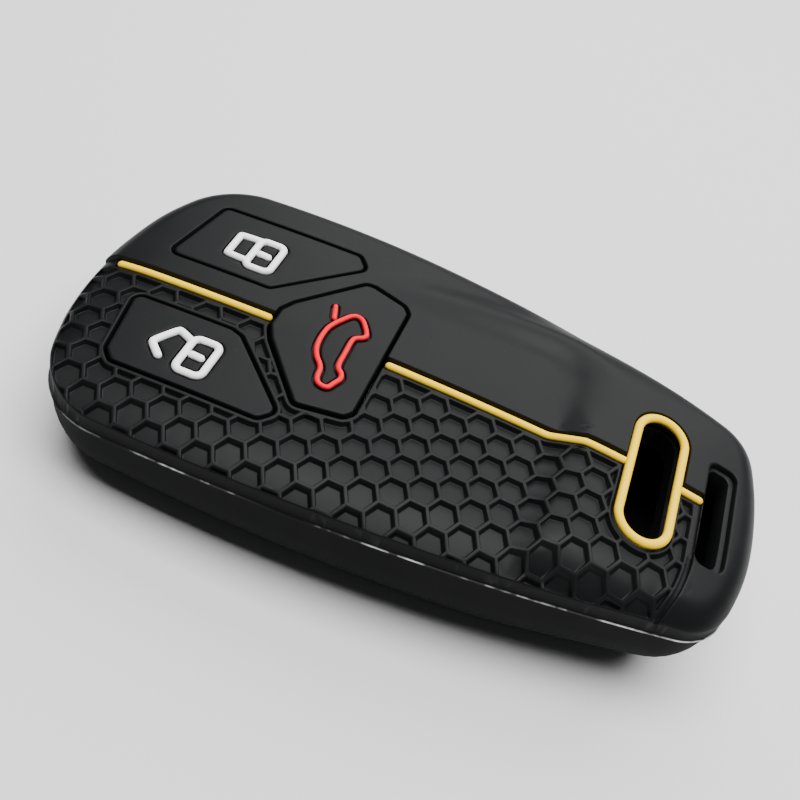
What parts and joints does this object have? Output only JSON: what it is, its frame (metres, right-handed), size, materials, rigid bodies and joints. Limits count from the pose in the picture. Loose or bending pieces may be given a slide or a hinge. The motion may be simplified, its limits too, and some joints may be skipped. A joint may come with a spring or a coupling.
{
  "type": "key fob cover",
  "caption": "Soft silicone cover for a car key remote, with a honeycomb half, push pads with coloured icons, a rimmed window and a key-ring slot.",
  "frame": {"origin": "centre of the footprint, on the flat back that the cover lies on", "axes": "+X along the cover to its key-ring end, +Y across it to the smooth half, +Z out of the button face"},
  "size_m": [0.0836, 0.0434, 0.0195],
  "materials": {
    "black_silicone": "matt moulded silicone",
    "yellow_silicone": "satin moulded silicone",
    "white_silicone": "satin moulded silicone",
    "red_silicone": "satin moulded silicone"
  },
  "bodies": {
    "sleeve": {"sleeve": "black_silicone", "stripe_left": "yellow_silicone", "stripe_middle": "yellow_silicone", "stripe_tail": "yellow_silicone", "window_rim": "yellow_silicone"},
    "lock_button": {"lock_pad": "black_silicone", "lock_case": "white_silicone", "lock_shackle": "white_silicone", "lock_keyhole": "white_silicone"},
    "unlock_button": {"unlock_pad": "black_silicone", "unlock_case": "white_silicone", "unlock_shackle": "white_silicone", "unlock_keyhole": "white_silicone"},
    "boot_button": {"boot_pad": "black_silicone", "boot_outline": "red_silicone", "boot_lid": "red_silicone"}
  },
  "joints": [
    {"name": "lock_press", "type": "slide", "parent": "sleeve", "child": "lock_button", "axis": [0, 0, -1], "range_m": [0, 0.0008], "stiffness_N_per_m": 1500},
    {"name": "unlock_press", "type": "slide", "parent": "sleeve", "child": "unlock_button", "axis": [0, 0, -1], "range_m": [0, 0.0008], "stiffness_N_per_m": 1500},
    {"name": "boot_press", "type": "slide", "parent": "sleeve", "child": "boot_button", "axis": [0, 0, -1], "range_m": [0, 0.0008], "stiffness_N_per_m": 1500}
  ]
}
